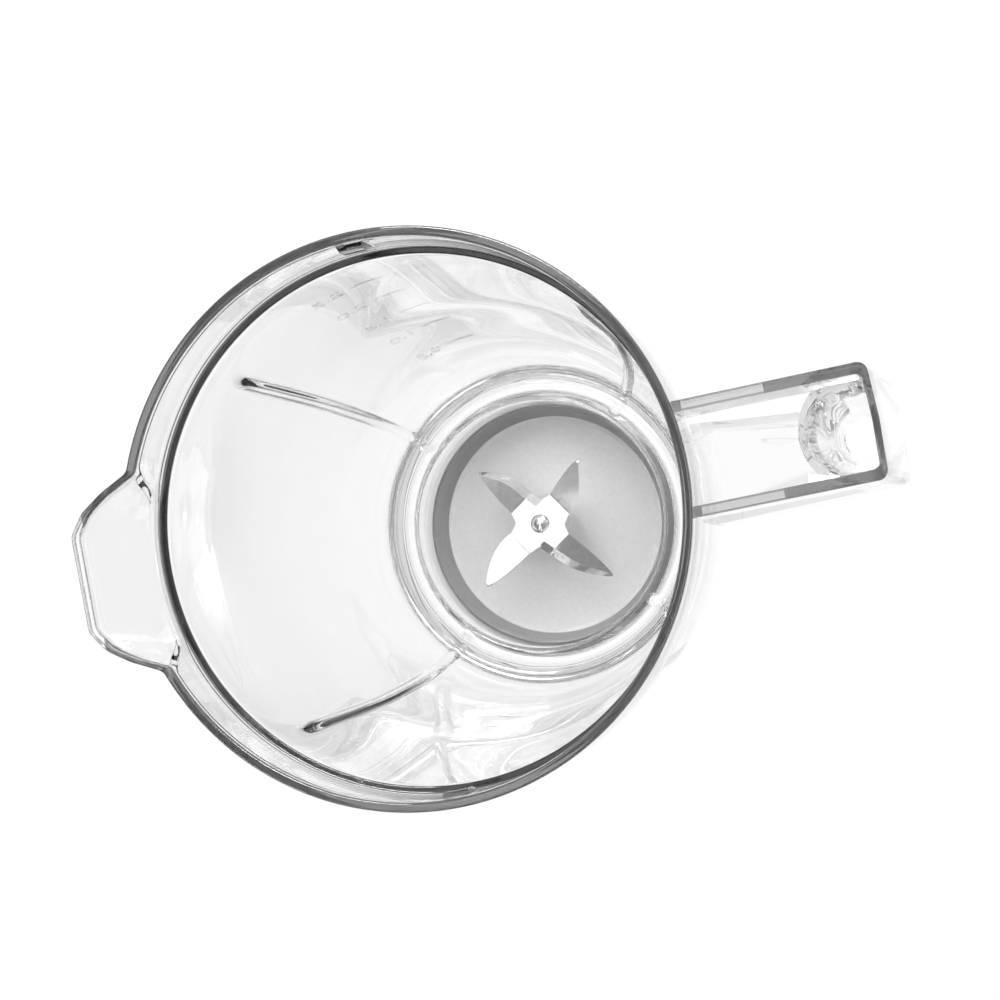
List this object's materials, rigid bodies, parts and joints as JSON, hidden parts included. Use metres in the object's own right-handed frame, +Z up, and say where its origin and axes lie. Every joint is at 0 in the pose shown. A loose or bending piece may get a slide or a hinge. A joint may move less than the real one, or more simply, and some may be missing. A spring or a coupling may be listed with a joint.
{
  "type": "blender goblet",
  "caption": "Clear tapered blender goblet with a spout, inner ribs, a hollow loop handle and a twist-in grey blade unit with crossed steel blades.",
  "frame": {"origin": "on the goblet's axis, in the plane that its skirt stands on, 1 mm below the drive coupling's lower face", "axes": "+Z up the goblet's axis, +X towards the handle, -X towards the spout, +Y across"},
  "size_m": [0.1959, 0.137, 0.231],
  "materials": {
    "clear_plastic": "clear, glossy",
    "grey_plastic": "satin",
    "grey_rubber": "soft matt",
    "stainless_steel": "rolled and ground",
    "bronze": "sintered, matt",
    "black_rubber": "matt",
    "black_plastic": "satin"
  },
  "bodies": {
    "goblet": {"goblet_body": "clear_plastic", "handle": "clear_plastic"},
    "blade_unit": {"sealing_ring": "grey_rubber", "blade_carrier": "grey_plastic", "base_cover": "grey_plastic", "cover_screw_1": "stainless_steel", "cover_screw_2": "stainless_steel", "cover_screw_3": "stainless_steel", "bearing_sleeve": "stainless_steel", "lower_bush": "bronze", "upper_bush": "bronze", "shaft_seal": "black_rubber", "seal_cap": "stainless_steel", "lower_washer": "stainless_steel"},
    "rotor": {"blade_shaft": "stainless_steel", "blade_cross": "stainless_steel", "blade_spacer": "stainless_steel", "thrust_washer": "bronze", "retaining_clip": "stainless_steel", "drive_coupling": "black_plastic", "coupling_insert": "stainless_steel"}
  },
  "joints": [
    {"name": "blade_unit_twist", "type": "hinge", "parent": "goblet", "child": "blade_unit", "pos_m": [0, 0, 0.03], "axis": [0, 0, 1], "range_deg": [0, 40]},
    {"name": "blade_spin", "type": "hinge", "parent": "blade_unit", "child": "rotor", "pos_m": [0, 0, 0.03], "axis": [0, 0, 1], "continuous": true}
  ]
}
